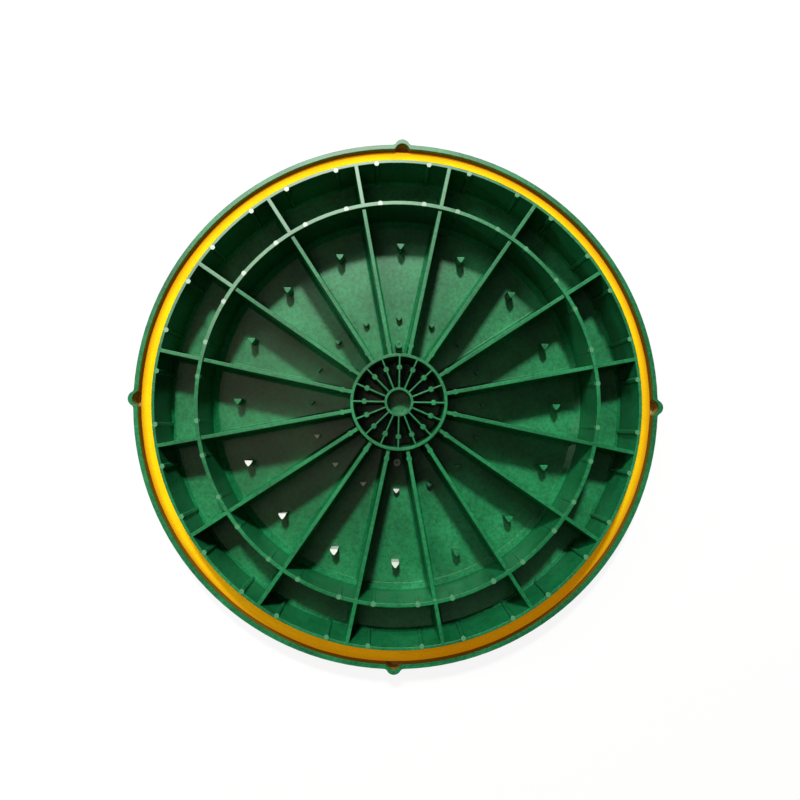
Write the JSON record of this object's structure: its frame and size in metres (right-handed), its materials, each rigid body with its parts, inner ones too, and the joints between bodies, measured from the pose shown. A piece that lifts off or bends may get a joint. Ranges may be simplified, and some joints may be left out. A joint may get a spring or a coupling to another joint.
{
  "type": "septic tank cover",
  "caption": "Round green plastic riser cover lying on its top face, with a ribbed underside, a plug skirt, a lipped rim with lugs and a yellow foam gasket.",
  "frame": {"origin": "centre of the flat top face that the cover lies on, at the bottom centre of the bounding box", "axes": "+Z out of the ribbed underside, towards the viewer of the picture; +Y towards the top of the picture and +X towards its right"},
  "size_m": [0.674, 0.674, 0.08],
  "materials": {
    "cover_plastic": "green moulded polyethylene, satin sheen, finely mottled",
    "gasket_foam": "yellow closed-cell foam, matt"
  },
  "bodies": {
    "root": {"cover_moulding": "cover_plastic", "gasket": "gasket_foam"}
  },
  "joints": []
}
